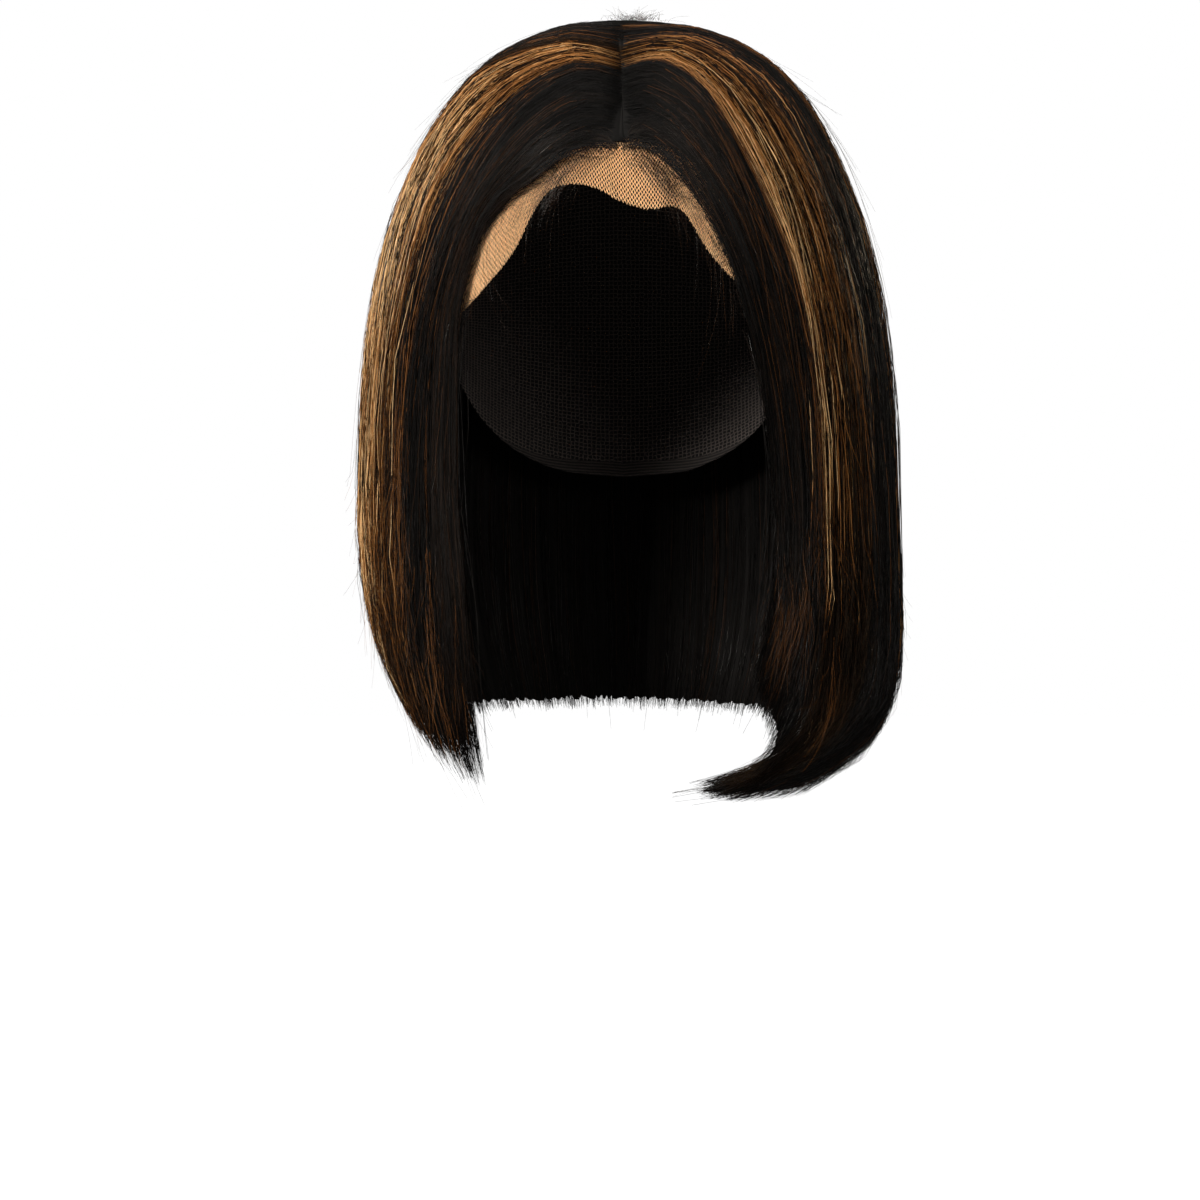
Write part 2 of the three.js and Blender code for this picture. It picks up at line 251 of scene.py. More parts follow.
def ease(low, high, at):
    """0 below low, 1 above high and smooth between."""
    share = np.clip((at - low) / (high - low), 0, 1)
    return share * share * (3 - 2 * share)


def rows_at(table, at):
    """The values of a table at any place between its rows, in straight lines."""
    return [np.interp(at, table[:, 0], column) for column in table[:, 1:].T]


def row_at(table, at):
    return rows_at(table, at)[0]


def unit(vectors):
    length = np.linalg.norm(vectors, axis=-1, keepdims=True)
    return vectors / np.maximum(length, 1e-9)


def cap_edge(angle):
    return smooth_rows(CAP_EDGE[:, 0], CAP_EDGE[:, 1:], np.abs(angle))[..., 0]


def lace_edge(angle):
    return smooth_rows(LACE_EDGE[:, 0], LACE_EDGE[:, 1:], angle)[..., 0]


def head_point(angle, level, offset):
    """A point of the head form, enlarged by an offset, at an angle from the front and a level."""
    height = np.where(level > WIDEST_LEVEL, HEIGHT_ABOVE, HEIGHT_BELOW) + offset
    rise = np.minimum(np.abs(level - WIDEST_LEVEL) / height, 1)
    share = (1 - rise**SQUARENESS) ** (1 / SQUARENESS)
    turn = np.radians(angle)
    reach = np.where(np.cos(turn) > 0, HALF_FRONT, HALF_BACK) + offset
    x = (HALF_WIDTH + offset) * share * np.sin(turn)
    y = -reach * share * np.cos(turn)
    return np.stack(np.broadcast_arrays(x, y, level), -1)


def head_top(y, offset):
    """The top of the enlarged head form over a place on its middle line."""
    reach = np.where(y < 0, HALF_FRONT, HALF_BACK) + offset
    rise = (1 - (np.abs(y) / reach) ** SQUARENESS) ** (1 / SQUARENESS)
    return WIDEST_LEVEL + (HEIGHT_ABOVE + offset) * rise


HEAD_MIDDLE = np.array([0, 0, WIDEST_LEVEL], float)


def head_stretch(points, offset):
    """How much further out from its middle the enlarged head form lies than each point."""
    x, y, z = np.moveaxis(points - HEAD_MIDDLE, -1, 0)
    reach = np.where(y < 0, HALF_FRONT, HALF_BACK) + offset
    height = np.where(z > 0, HEIGHT_ABOVE, HEIGHT_BELOW) + offset
    plan = np.hypot(x / (HALF_WIDTH + offset), y / reach)
    field = plan**SQUARENESS + np.abs(z / height) ** SQUARENESS
    return (np.maximum(field, 1e-6) ** (-1 / SQUARENESS))[..., None]


def on_head(points, offset):
    """Points drawn on to the face of the enlarged head form."""
    return HEAD_MIDDLE + (points - HEAD_MIDDLE) * head_stretch(points, offset)


def hold_off_head(points, offset):
    """Moves what lies inside the enlarged head form out to its face."""
    return HEAD_MIDDLE + (points - HEAD_MIDDLE) * np.maximum(head_stretch(points, offset), 1)


def hair_face(section, way):
    """The hair's outer face, for a section and a share of the way from the part to the cut end."""
    section, way = np.broadcast_arrays(section, way)
    part_y, lift, square, lag, bow = np.moveaxis(smooth_rows(SECTIONS, ROOTS, section), -1, 0)
    fall = np.moveaxis(smooth_rows(SECTIONS, FALLS, section), -1, 0)
    belly, tip, tuck = fall[0:3], fall[3:6], fall[6]
    root_x = PART_X + np.clip(belly[0] / BACK_HALF, -1, 1) * PART_GAP / 2
    root_z = head_top(part_y, lift)
    turn = np.clip(way, 0, 0.5) * math.pi
    out = np.sin(turn) ** (2 / square)
    down = 1 - np.maximum(np.cos(turn), 0) ** (2 / square)
    parted = row_at(PARTED, section)
    dip = PART_DIP * lift * parted * np.maximum(1 - out / PART_DIP_REACH, 0) ** 2
    upper = np.stack([
        root_x + (belly[0] - root_x) * out,
        part_y + (belly[1] - part_y) * out**lag - bow * np.sin(math.pi * out),
        root_z + (belly[2] - root_z) * down - dip,
    ], -1)
    drop = np.maximum(way * 2 - 1, 0)
    turn_in = drop**tuck
    lower = np.stack([
        belly[0] + (tip[0] - belly[0]) * turn_in,
        belly[1] + (tip[1] - belly[1]) * turn_in,
        belly[2] + (tip[2] - belly[2]) * drop,
    ], -1)
    return np.where((way <= 0.5)[..., None], upper, lower)


def hair_frame(section, way):
    """Directions across the sections and straight out of the hair's face."""
    nudge = 0.01
    before = hair_face(np.maximum(section - nudge, 0), way)
    after = hair_face(np.minimum(section + nudge, SECTIONS[-1]), way)
    above = hair_face(section, np.maximum(way - nudge, 0))
    below = hair_face(section, way + nudge)
    across = unit(after - before)
    return across, unit(np.cross(across, below - above))


def hair_depth(section, way):
    depth = smooth_rows(SECTIONS, FALLS, section)[..., 7]
    return depth * (1 - (1 - TIP_DEPTH) * np.clip(way * 2 - 1, 0, 1))


def hair_side(section):
    """-1 on the wearer's right, 1 on the left, and between them at the back."""
    return np.clip(smooth_rows(SECTIONS, FALLS, section)[..., 0] / BACK_HALF, -1, 1)


def lies_closer(section, way):
    """How much deeper the hair lies at either side of the head."""
    return row_at(CLOSER, section) * ease(*CLOSER_FROM, way) * (1 - ease(*CLOSER_TO, way))


def random_wave(rng, at, turns, count, of=slice(None)):
    """A wave along each row, with a pace and a start that may be those of its clump."""
    pace = rng.uniform(*turns, count)[of][:, None]
    return np.sin(at * pace + rng.uniform(0, FULL_TURN, count)[of][:, None])


def random_line(rng, at, pitch):
    """Smooth random values between 0 and 1, with a new one for each pitch."""
    step = at / pitch
    low = np.floor(step).astype(int)
    first = low.min()
    values = rng.random(low.max() - first + 2)
    share = ease(0, 1, step - low)
    return values[low - first] * (1 - share) + values[low - first + 1] * share


class Shape:
    """Points, four- and three-cornered faces, and the faces' places on the strand map."""

    def __init__(self, points, quads, quad_places, tris=None, tri_places=None):
        self.points = points.reshape(-1, 3)
        self.quads = quads.reshape(-1, 4)
        self.quad_places = quad_places.reshape(-1, 4, 2)
        self.tris = np.zeros((0, 3), int) if tris is None else tris.reshape(-1, 3)
        self.tri_places = np.zeros((0, 3, 2)) if tris is None else tri_places.reshape(-1, 3, 2)


def tubes(routes, outward, radius, roll, tone, along):
    """Closed three-sided strands along routes, with a tone and a place along at each point."""
    count, rings = routes.shape[:2]
    heading = unit(np.gradient(routes, axis=1))
    side = unit(np.cross(heading, outward))
    face = np.cross(side, heading)
    turn = roll[:, None, None] + np.arange(3) * 2 * math.pi / 3
    ring = (
        np.cos(turn)[..., None] * face[:, :, None, :] + np.sin(turn)[..., None] * side[:, :, None, :]
    )
    points = routes[:, :, None, :] + ring * radius[:, :, None, None]
    index = np.arange(count * rings * 3).reshape(count, rings, 3)
    near, far = index[:, :-1], index[:, 1:]
    turned = np.roll(np.arange(3), -1)
    quads = np.stack([near, near[:, :, turned], far[:, :, turned], far], -1)
    edge = (np.arange(4) / 3 - 0.5) * TONE_WIDTH
    u = tone[:, :, None] + edge
    v = np.broadcast_to(along[:, :, None], u.shape)
    places = np.stack([u, v], -1)
    low, high = places[:, :-1], places[:, 1:]
    quad_places = np.stack([low[:, :, :3], low[:, :, 1:], high[:, :, 1:], high[:, :, :3]], -2)
    tris = np.stack([index[:, 0, ::-1], index[:, -1]], 1)
    cap = np.stack([places[:, 0, :3], places[:, -1, :3]], 1).copy()
    cap[:, :, 1, 1] += TONE_WIDTH / 2
    return Shape(points, quads, quad_places, tris, cap)


def wall(outer, inner, tone, along):
    """A closed wall between an outer and an inner net of points."""
    columns, rows = outer.shape[:2]
    front = np.arange(columns * rows).reshape(columns, rows)
    back = front + columns * rows
    quads = [
        (front[:-1, :-1], front[1:, :-1], front[1:, 1:], front[:-1, 1:]),
        (back[:-1, :-1], back[:-1, 1:], back[1:, 1:], back[1:, :-1]),
        (front[:-1, 0], back[:-1, 0], back[1:, 0], front[1:, 0]),
        (front[:-1, -1], front[1:, -1], back[1:, -1], back[:-1, -1]),
        (front[0, :-1], front[0, 1:], back[0, 1:], back[0, :-1]),
        (front[-1, :-1], back[-1, :-1], back[-1, 1:], front[-1, 1:]),
    ]
    quads = np.concatenate([np.stack(corners, -1).reshape(-1, 4) for corners in quads])
    places = np.stack([np.concatenate([tone, tone + TONE_WIDTH]), np.concatenate([along, along])], -1)
    places = places.reshape(-1, 2)[quads]
    return Shape(np.concatenate([outer, inner]), quads, places)


def make_piece(name, shapes, material):
    """One mesh object from joined shapes."""
    starts = np.cumsum([0] + [len(shape.points) for shape in shapes])
    points = np.concatenate([shape.points for shape in shapes]) * MM
    quads = np.concatenate([shape.quads + start for shape, start in zip(shapes, starts)])
    tris = np.concatenate([shape.tris + start for shape, start in zip(shapes, starts)])
    corners = np.concatenate([quads.ravel(), tris.ravel()])
    places = np.concatenate(
        [shape.quad_places.reshape(-1, 2) for shape in shapes]
        + [shape.tri_places.reshape(-1, 2) for shape in shapes]
    )
    totals = np.concatenate([np.full(len(quads), 4), np.full(len(tris), 3)])
    mesh = bpy.data.meshes.new(name)
    mesh.vertices.add(len(points))
    mesh.vertices.foreach_set("co", points.astype(np.float32).ravel())
    mesh.loops.add(len(corners))
    mesh.loops.foreach_set("vertex_index", corners.astype(np.int32))
    mesh.polygons.add(len(totals))
    mesh.polygons.foreach_set("loop_start", (np.cumsum(totals) - totals).astype(np.int32))
    mesh.polygons.foreach_set("use_smooth", np.ones(len(totals), bool))
    strand_map = mesh.uv_layers.new(name=STRAND_MAP)
    strand_map.uv.foreach_set("vector", places.astype(np.float32).ravel())
    mesh.update(calc_edges=True)
    mesh.materials.append(material)
    piece = bpy.data.objects.new(name, mesh)
    bpy.context.scene.collection.objects.link(piece)
    return piece


def even_lanes(rng, first, last, per_mm):
    """Lanes spread evenly by the width of the hair, at its roots or at its fullest level."""
    fine = np.linspace(first, last, 200)
    rows = [hair_face(run_in(fine, way), way) for way in (0, 0.5)]
    widths = np.max([np.linalg.norm(np.diff(row, axis=0), axis=1) for row in rows], axis=0)
    run = np.concatenate([[0], np.cumsum(widths)])
    count = int(run[-1] * per_mm)
    place = (np.arange(count) + rng.random(count)) / count
    lane = np.interp(place * run[-1], run, fine)
    inside = np.minimum(lane, SECTIONS[-1] - lane)
    kept = rng.random(count) < EDGE_LEAST + (1 - EDGE_LEAST) * ease(0, EDGE_REACH, inside)
    return lane[kept]


# Shares of a long strand's length at which it has its points, closer over the crown
LONG_STEPS = np.array([
    0, 0.022, 0.052, 0.09, 0.135, 0.185, 0.24, 0.3, 0.365, 0.435, 0.52, 0.63, 0.76, 0.89, 1,
])
STEP_JITTER = 0.35

CLUMP_GATHER = 0.35
CLUMP_EVENNESS = 2.2
OUTER_EDGE = 0.3


def strand_steps(rng, count, points):
    """Steps along each strand, not quite alike, so that no bends line up."""
    steps = LONG_STEPS if points == len(LONG_STEPS) else np.linspace(0, 1, points)
    room = np.minimum(np.diff(steps)[:-1], np.diff(steps)[1:])
    moved = np.tile(steps, (count, 1))
    moved[:, 1:-1] += rng.uniform(-STEP_JITTER, STEP_JITTER, (count, points - 2)) * room
    return moved


def run_in(lane, way):
    """The section that a lane runs in, at a place on its way."""
    fanned = (row_at(FAN, lane) - lane) * (1 - ease(0, FAN_REACH, way))
    hooked = (HOOK_LANE - lane) * row_at(HOOK, lane) * ease(HOOK_FROM, 1, way)
    drawn = TEMPLE_DRAW * np.maximum(1 - lane / TEMPLE_REACH, 0) * ease(*TEMPLE_FROM, way)
    drawn = drawn * (1 - TEMPLE_EASED * ease(*TEMPLE_EASES, way)) * (1 - ease(*TEMPLE_TO, way))
    return np.clip(lane + fanned + hooked + drawn, -OUTER_EDGE, SECTIONS[-1] + OUTER_EDGE)


def swept(points, lane, way):
    """Moves points of the hair on the wearer's left into the hook and the lean of its ends."""
    curl = row_at(HOOK, lane) * ease(*HOOK_CURL_AT, way) ** HOOK_CURL_BEND
    lean = row_at(LEAN, lane) * ease(LEAN_FROM, 1, way)
    points = points.copy()
    points[..., 0] -= lean
    points[..., 2] += HOOK_CURL * curl
    return points


# A strand is in a streak by its clump, its place and itself
STREAK_BY_CLUMP, STREAK_BY_PLACE, STREAK_BY_STRAND = 0.3, 0.2, 0.5
STREAK_PITCH = 0.13
# The dark strands' tone goes by their clump and themselves
DARK_BY_CLUMP, DARK_BY_STRAND = 0.7, 0.3
DARK_MOST = 0.2
DARK_BEND = 1.5
BROWN_TONES = (0.2, 0.42)
# The caramel strands are darker and more copper towards their roots, partly their own colour and partly a
# painted shade over the crown, and fade towards their ends, some late
LIGHT_SPREAD = 0.16
LATEST_FADE = 0.45
FADE_LENGTH = 0.15
FADED_TONES = (0.03, 0.28)
ROOT_LIGHT, FULL_LIGHT = 0.74, 0.26
ROOT_SHADE = (0.06, 0.36)


def strand_tone(rng, lane, way, clump_of):
    """Tone of each strand along its way, from 0, black, to 1, golden."""
    count = len(lane)
    share, light, fade_from = rows_at(CARAMEL, lane)
    of_clump = rng.random(clump_of.max() + 1)[clump_of]
    streak = STREAK_BY_CLUMP * of_clump + STREAK_BY_PLACE * random_line(rng, lane, STREAK_PITCH)
    streak = streak + STREAK_BY_STRAND * rng.random(count)
    rank = np.argsort(np.argsort(streak)) / count
    caramel = rank < share
    of_clump = rng.random(clump_of.max() + 1)[clump_of]
    dark = DARK_MOST * (DARK_BY_CLUMP * of_clump + DARK_BY_STRAND * rng.random(count)) ** DARK_BEND
    brown = rng.random(count) < row_at(BROWN, lane)
    dark = np.where(brown, rng.uniform(*BROWN_TONES, count), dark)
    light = light + rng.normal(0, LIGHT_SPREAD, count)
    fade_from = fade_from + LATEST_FADE * rng.random(count) ** 3
    faded = rng.uniform(*FADED_TONES, count)
    fade = ease(fade_from[:, None], fade_from[:, None] + FADE_LENGTH, way)
    light = light[:, None] + (np.minimum(faded, light) - light)[:, None] * fade
    # Partly painted shade: caramel is darkened towards the roots over the crown, where it is also more
    # copper
    light = light * (ROOT_LIGHT + FULL_LIGHT * ease(*ROOT_SHADE, way))
    return np.where(caramel[:, None], light, dark[:, None]).clip(*TONE_ENDS)


# Ends: how ragged they are, the wisps that hang below them and where early ones lie
RAGGED_ENDS = (1.2, 0.5)
WISPS = 0.6
WISP_LENGTHS = (0.01, 0.05)
EARLY_ENDS = (0.4, 0.98)
# Drift across the lanes of strands, of the front edges, of splayed ends and of strays
STRAND_DRIFT = 0.03
EDGE_DRIFT_REACH = 0.7
END_SPLAY = 2.2
STRAYS = 0.05
STRAY_WANDER = 0.22
# Relief of the hair's face: ridges and rolls of the clumps, swells across the lanes
RIDGES = (-0.4, 0.9)
SWELL = 1.4
SWELL_PITCH = 0.17
ROLL_TURNS = (16, 36)
ROLL_DEPTHS = (0.2, 1.3)
RELIEF_FROM = (0.03, 0.2)
# Roots lie deeper, most of all at the part
ROOT_DEPTH, PART_DEPTH = 0.8, 2.4
ROOT_REACH = 0.05
# Waves of strands and of clumps
STRAND_TURNS = (9, 22)
CLUMP_TURNS = (7, 18)
WAVE_SIZES = (0.2, 1.2)
WAVE_LIFT = 0.25
# Free ends of the strands that lie over the rest
FREE_LIFT = (1.3, 0.5)
FREE_SPLAY = 2.2
# Strands cross the part a little, and further where it is closed
OVER_PART = 0.4
OVER_PART_MOST, OVER_CROWN_MOST = 1.8, 7
PART_CROSSING = 0.045
STRAND_CLEARANCE = 0.25


def lay_strands(rng, lock, layer_name):
    """One layer of strands over a lock."""
    first_lane, last_lane, fullness = lock[3:]
    layer = LAYERS[layer_name]
    lane = even_lanes(rng, first_lane, last_lane, layer["per_mm"] * fullness)
    count = len(lane)
    most_clumps = int(3 * (last_lane - first_lane) / layer["clump"])
    sizes = rng.gamma(CLUMP_EVENNESS, layer["clump"] / CLUMP_EVENNESS, most_clumps)
    clump_of = np.searchsorted(first_lane + np.cumsum(sizes), lane)
    clump_of = np.unique(clump_of, return_inverse=True)[1]
    clumps = clump_of.max() + 1
    centre = (np.bincount(clump_of, lane) / np.bincount(clump_of))[clump_of]

    start = rng.uniform(*layer["roots"], count)
    end, ragged = rows_at(CUT, lane)
    end = end - ragged * (rng.gamma(*RAGGED_ENDS, count) + rng.random(clumps)[clump_of])
    wisp = rng.random(count) < WISPS * ragged
    end = np.where(wisp, end + rng.uniform(*WISP_LENGTHS, count), end)
    early = rng.random(count) < layer["early"]
    end = np.where(early, start + (end - start) * rng.uniform(*EARLY_ENDS, count), end)
    steps = strand_steps(rng, count, layer["points"])
    way = np.minimum(start[:, None] + (end - start)[:, None] * steps, LONGEST_WAY)

    gather = CLUMP_GATHER * ease(0.1, 1.05, way)
    drift = rng.normal(0, STRAND_DRIFT, count)[:, None] * (way - 0.1)
    drift = drift + rng.normal(0, layer["drift"], clumps)[clump_of][:, None] * ease(0.1, 1, way)
    inside = np.minimum(lane, SECTIONS[-1] - lane)
    near_edge = np.clip(1 - inside / EDGE_DRIFT_REACH, 0, 1)
    edge_drift = rng.normal(0, EDGE_WANDER, clumps)[clump_of] * near_edge
    splay = rng.normal(0, END_SPLAY, count) * ragged
    drift = drift + edge_drift[:, None] * ease(0.3, 1, way) + splay[:, None] * ease(0.8, 1, steps) ** 2
    stray = (rng.random(count) < STRAYS)[:, None]
    wander = rng.normal(0, STRAY_WANDER, count)[:, None] * ease(0.08, 0.9, way)
    path = lane[:, None] + (centre - lane)[:, None] * gather + drift + np.where(stray, wander, 0)
    path = run_in(np.clip(path, -OUTER_EDGE, SECTIONS[-1] + OUTER_EDGE), way)

    depth = layer["depth"][0] + np.ptp(layer["depth"]) * rng.random(count) ** 1.4
    depth = np.broadcast_to(depth[:, None], way.shape)
    face = hair_face(path, way)
    across, out = hair_frame(path, way)
    rising = unit(face - HEAD_MIDDLE)
    out = unit(rising + (out - rising) * ease(0, 0.1, way)[..., None])
    parted = row_at(PARTED, path)
    if layer_name in SHARE_LAYERS:
        depth = depth * hair_depth(path, way)
    else:
        ridge = rng.uniform(*RIDGES, clumps)[clump_of][:, None]
        swell = SWELL * (random_line(rng, lane, SWELL_PITCH) - 0.5)[:, None]
        roll = random_wave(rng, way, ROLL_TURNS, clumps, clump_of)
        swell = swell + roll * rng.uniform(*ROLL_DEPTHS, clumps)[clump_of][:, None]
        depth = depth + (ridge + swell) * ease(*RELIEF_FROM, way) + lies_closer(path, way)
        from_root = ease(0, ROOT_REACH, way - start[:, None])
        depth = depth + (ROOT_DEPTH + PART_DEPTH * parted) * (1 - from_root)
        stray_depth = depth * (1 - 0.8 * ease(0.08, 0.5, way)) - 0.3 * ease(0.1, 0.4, way)
        depth = np.where(stray, stray_depth, depth)

    wave = random_wave(rng, way, STRAND_TURNS, count)
    wobble = wave * (0.05 + 0.22 * way) * rng.uniform(*WAVE_SIZES, count)[:, None]
    wave = random_wave(rng, way, CLUMP_TURNS, clumps, clump_of)
    wobble = wobble + wave * (0.1 + 0.7 * way) * rng.uniform(*WAVE_SIZES, clumps)[clump_of][:, None]
    if layer_name == "over":
        free = ease(0.55, 1, steps) * early[:, None]
        depth = depth - rng.gamma(*FREE_LIFT, count)[:, None] * free
        wobble = wobble + rng.normal(0, FREE_SPLAY, count)[:, None] * free**1.5
    routes = face - out * (depth + WAVE_LIFT * wobble)[..., None] + across * wobble[..., None]
    if layer_name == "top":
        most = OVER_PART_MOST + OVER_CROWN_MOST * (1 - parted)
        over_part = OVER_PART + rng.random(count)[:, None] * most
        routes[..., 0] -= hair_side(path) * over_part * (1 - ease(0, PART_CROSSING, way))
    routes = hold_off_head(swept(routes, lane[:, None], way), CAP_WALL + STRAND_CLEARANCE)

    radius = rng.uniform(*STRAND_RADIUS, count)[:, None] * (1 - 0.5 * ease(0.6, 1, steps))
    tone = strand_tone(rng, lane, way, clump_of)
    along = layer["along"][0] + np.ptp(layer["along"]) * np.clip(way, 0, 1)
    return tubes(routes, out, radius, rng.uniform(0, FULL_TURN, count), tone, along)


# Fine hairs: points, how thick they are, by kind, and how much thinner at the tip
FINE_POINTS = 8
LOOSE_RADIUS = (0.045, 0.08)
KNOTTED_RADIUS = (0.05, 0.1)
BABY_RADIUS = (0.03, 0.055)
TUFT_RADIUS = (0.04, 0.07)
FINE_TIP = 0.6
BABY_TIP = 0.5
# Their places along the strand map
LOOSE_ALONG = 0.15
FINE_ALONG = 0.2
FINE_RUN = 0.7
# Loose hairs: kinks, how far they cross the lanes, how far they lift off and how deep they start
KINK = 0.05
KINK_TURNS = (3, 9)
LOOSE_CROSS = 0.12
LOOSE_LIFT = (1.5, 1.5)
LOOSE_ROOT_DEPTH = 0.7
# and how much lighter they are in the caramel sections
LOOSE_LIGHT = 0.5


def fine_steps(count):
    return np.tile(np.linspace(0, 1, FINE_POINTS), (count, 1))


def lay_loose_hairs(rng, count, lanes, starts, lengths, tones):
    """Fine hairs that leave the hair's face and end in a free tip."""
    lane = rng.uniform(*lanes, count)
    start = rng.uniform(*starts, count)
    length = rng.uniform(*lengths, count)
    steps = fine_steps(count)
    way = start[:, None] + length[:, None] * steps
    kink = KINK * random_wave(rng, steps, KINK_TURNS, count)
    cross = rng.normal(0, LOOSE_CROSS, count)[:, None] * steps**1.5
    path = run_in(lane[:, None] + cross + kink * steps, way)
    out = hair_frame(path, way)[1]
    lift = rng.gamma(*LOOSE_LIFT, count)[:, None] * steps**2 - LOOSE_ROOT_DEPTH
    routes = swept(hair_face(path, way) + out * lift[..., None], path, way)
    radius = rng.uniform(*LOOSE_RADIUS, count)[:, None] * (1 - FINE_TIP * steps)
    light = LOOSE_LIGHT * row_at(CARAMEL, lane)
    tone = (light + rng.uniform(*tones, count))[:, None].clip(*TONE_ENDS)
    tone = np.broadcast_to(tone, steps.shape)
    return tubes(routes, out, radius, np.zeros(count), tone, LOOSE_ALONG + FINE_RUN * steps)


# Hairline: how far it goes down, how deep into the lock its strands bend,
# how far ahead of it they are knotted, in millimetres, and how soon they leave the lace
HAIRLINE_END = 0.38
HAIRLINE_DEPTH = 0.55
HAIRLINE_RAGGED = (1.6, 0.8)
HAIRLINE_DRIFT = 0.1
HAIRLINE_SINK = 0.8
HAIRLINE_TONES = (0.02, 0.4)
KNOTS_AHEAD = (-7.0, -3.0, 4.0)
LEAVES_LACE = 0.11
LACE_CLEARANCE = 0.1


def lay_hairline(rng, edge, inward, count):
    """Strands knotted into the lace along the hairline, bending into the front lock."""
    start = HAIRLINE_END * rng.random(count) ** 1.6
    lane = edge + inward * rng.uniform(0, HAIRLINE_DEPTH, count)
    end, ragged = rows_at(CUT, lane)
    end = end - ragged * rng.gamma(*HAIRLINE_RAGGED, count)
    steps = strand_steps(rng, count, len(LONG_STEPS))
    way = start[:, None] + (end - start)[:, None] * steps
    drift = rng.normal(0, HAIRLINE_DRIFT, count)[:, None] * ease(0.45, 1, way)
    lane = run_in(lane[:, None] + drift, way)
    out = hair_frame(lane, way)[1]
    face = hair_face(lane, way) - out * rng.uniform(0, HAIRLINE_SINK, count)[:, None, None]
    face = swept(face, lane, way)
    line = run_in(np.full(count, float(edge)), start)
    across = hair_frame(line, start)[0]
    ahead = rng.triangular(*KNOTS_AHEAD, count) * inward
    knot = on_head(hair_face(line, start) - across * ahead[:, None], LACE_WALL + LACE_CLEARANCE)
    settled = ease(0, LEAVES_LACE, way - start[:, None])[..., None]
    routes = hold_off_head(knot[:, None] * (1 - settled) + face * settled, LACE_WALL + LACE_CLEARANCE)
    radius = rng.uniform(*KNOTTED_RADIUS, count)[:, None] * (1 - FINE_TIP * ease(0.6, 1, steps))
    tone = np.broadcast_to(rng.uniform(*HAIRLINE_TONES, count)[:, None] ** 1.3, way.shape)
    roll = rng.uniform(0, FULL_TURN, count)
    return tubes(routes, out, radius, roll, tone, FINE_ALONG + FINE_RUN * steps)


# Baby hairs: lengths in millimetres, how far they lean and curl, how far their tips lift
BABY_LENGTHS = (7, 22)
BABY_LEANS = (-0.2, 0.9)
BABY_CURL = 0.5
BABY_LIFT = 0.8
BABY_TONES = (0.1, 0.45)
BABY_CLEARANCE = 0.2


def lay_baby_hairs(rng, edge, inward, count, ways, reach):
    """Short soft hairs that lie loose on the lace, rooted up to a reach ahead of the hairline."""
    start = rng.uniform(*ways, count)
    line = run_in(np.full(count, float(edge)), start)
    across = hair_frame(line, start)[0]
    flow = unit(hair_face(line, start + 0.02) - hair_face(line, start))
    root = hair_face(line, start) - across * (rng.uniform(-1, reach, count) * inward)[:, None]
    steps = fine_steps(count)
    lean = rng.uniform(*BABY_LEANS, count)[:, None] * inward
    length = rng.uniform(*BABY_LENGTHS, count)[:, None]
    curl = rng.normal(0, BABY_CURL, count)[:, None] * steps**2 * inward
    step = flow[:, None] - across[:, None] * (lean + curl)[..., None]
    routes = root[:, None] + step * (length * steps)[..., None]
    out = unit(routes - HEAD_MIDDLE)
    routes = on_head(routes, LACE_WALL + BABY_CLEARANCE) + out * (BABY_LIFT * steps)[..., None]
    radius = rng.uniform(*BABY_RADIUS, count)[:, None] * (1 - BABY_TIP * steps)
    tone = np.broadcast_to(rng.uniform(*BABY_TONES, count)[:, None], steps.shape)
    return tubes(routes, out, radius, np.zeros(count), tone, FINE_ALONG + FINE_RUN * steps)


# One long hair that has strayed over the lace: angle from the front, level
STRAY_HAIR = np.array([(-6, -46), (-5, -58), (-1.8, -69.6), (9.5, -74), (18, -75.4)], float)
STRAY_POINTS = 24
STRAY_HEIGHT = 0.5
STRAY_RADIUS = 0.05
STRAY_TONE = 0.3


def lay_stray_hair():
    at = np.linspace(0, len(STRAY_HAIR) - 1, STRAY_POINTS)
    angle, level = smooth_rows(np.arange(len(STRAY_HAIR)), STRAY_HAIR, at).T
    route = head_point(angle, level, LACE_WALL + STRAY_HEIGHT)[None]
    out = unit(route - HEAD_MIDDLE)
    radius = np.full(route.shape[:2], STRAY_RADIUS)
    tone = np.full(route.shape[:2], STRAY_TONE)
    return tubes(route, out, radius, np.zeros(1), tone, np.linspace(0.2, 0.9, STRAY_POINTS)[None])


# Tuft: where it roots across and along the part, its height over the cap and its lengths
TUFT_ACROSS = (3.5, 4.5)
TUFT_ALONG = (-26, 12)
TUFT_ROOT = 6.3
TUFT_LENGTHS = (2.5, 7.5)
TUFT_TONES = (0.05, 0.5)


def lay_crown_tuft(rng, count):
    """New short hairs that stand up along the part at the crown."""
    x = rng.normal(*TUFT_ACROSS, count)
    y = rng.uniform(*TUFT_ALONG, count)
    root = np.stack([x, y, head_top(y, TUFT_ROOT)], -1)
    steps = fine_steps(count)
    lean_x, lean_y = rng.normal(0.1, 0.5, count), rng.normal(-0.2, 0.5, count)
    lean = np.stack([lean_x, lean_y, rng.uniform(0.6, 1, count)], -1)[:, None]
    bow_x, bow_y = rng.normal(0.1, 0.5, count), rng.normal(0, 0.4, count)
    bow = np.stack([bow_x, bow_y, rng.uniform(-0.7, -0.1, count)], -1)[:, None]
    length = rng.uniform(*TUFT_LENGTHS, count)[:, None, None]
    routes = root[:, None] + length * (lean * steps[..., None] + bow * steps[..., None] ** 2)
    radius = rng.uniform(*TUFT_RADIUS, count)[:, None] * (1 - FINE_TIP * steps)
    tone = np.broadcast_to(rng.uniform(*TUFT_TONES, count)[:, None], steps.shape)
    out = np.broadcast_to(np.array([0, -1, 0.2]), routes.shape)
    return tubes(routes, out, radius, np.zeros(count), tone, FINE_ALONG + FINE_RUN * steps)


